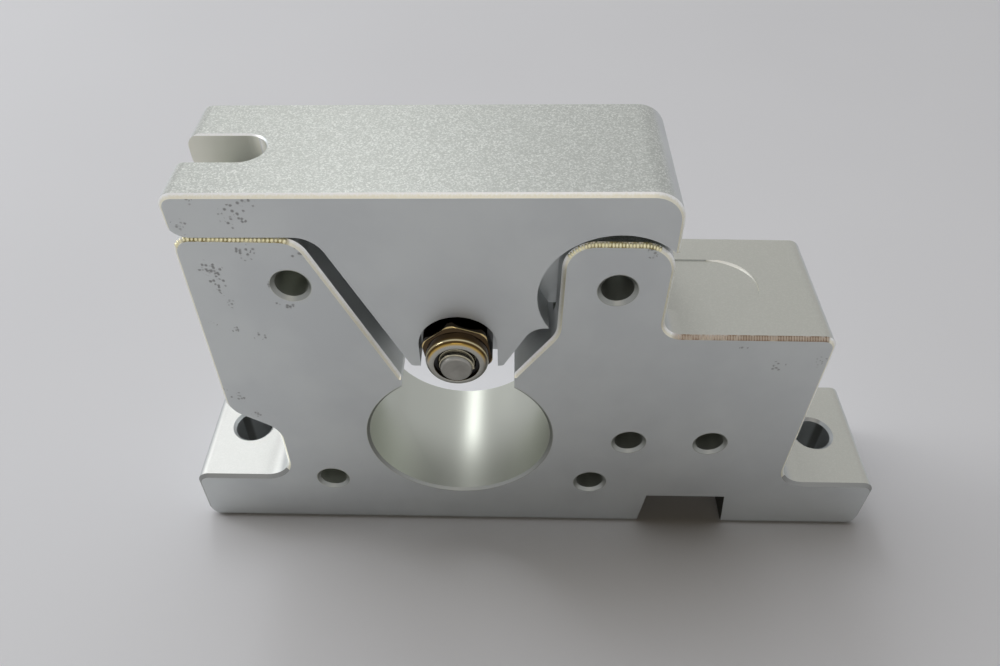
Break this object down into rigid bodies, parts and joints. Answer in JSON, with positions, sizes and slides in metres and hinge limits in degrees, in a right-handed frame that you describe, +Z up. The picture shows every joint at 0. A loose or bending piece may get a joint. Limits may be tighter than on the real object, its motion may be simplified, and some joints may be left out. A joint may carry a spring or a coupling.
{
  "type": "extruder feeder block",
  "caption": "Machined filament feeder block with feet, a drive bore and a clevis, carrying a hinged idler lever with a ball bearing on a screw and lock nut.",
  "frame": {"origin": "middle of the square of four motor screw holes, on the back face that meets the motor", "axes": "+X towards the filament outlet, +Y from the front face towards the motor, +Z up"},
  "size_m": [0.0824, 0.0194, 0.0503],
  "materials": {
    "feeder_block": "bead blasted, bright milled edges",
    "idler_lever": "bead blasted, bright milled edges",
    "axle_bolt": "rolled steel",
    "axle_nut": "yellowish zinc plate",
    "nut_insert": "black nylon",
    "spacer": "stamped steel",
    "bearing_ring": "ground steel",
    "bearing_balls": "polished steel",
    "bearing_cage": "pressed steel",
    "bearing_shield": "pressed steel"
  },
  "bodies": {
    "block": {"feeder_block": "feeder_block"},
    "lever": {"idler_lever": "idler_lever", "axle_bolt": "axle_bolt", "axle_nut": "axle_nut", "nut_insert": "nut_insert", "rear_spacer": "spacer", "front_spacer": "spacer", "bearing_inner_ring": "bearing_ring"},
    "idler": {"bearing_outer_ring": "bearing_ring", "bearing_rear_shield": "bearing_shield", "bearing_front_shield": "bearing_shield"},
    "cage": {"bearing_balls": "bearing_balls", "bearing_cage": "bearing_cage"}
  },
  "joints": [
    {"name": "lever_hinge", "type": "hinge", "parent": "block", "child": "lever", "pos_m": [0.0155, -0.008, 0.0155], "axis": [0, 1, 0], "range_deg": [0, 75]},
    {"name": "idler_spin", "type": "hinge", "parent": "lever", "child": "idler", "pos_m": [0.00016, -0.008, 0.00773], "axis": [0, 1, 0], "continuous": true},
    {"name": "cage_spin", "type": "hinge", "parent": "lever", "child": "cage", "pos_m": [0.00016, -0.008, 0.00773], "axis": [0, 1, 0], "continuous": true}
  ],
  "couplings": [
    {"joint": "cage_spin", "follows": "idler_spin", "ratio": 0.64}
  ]
}
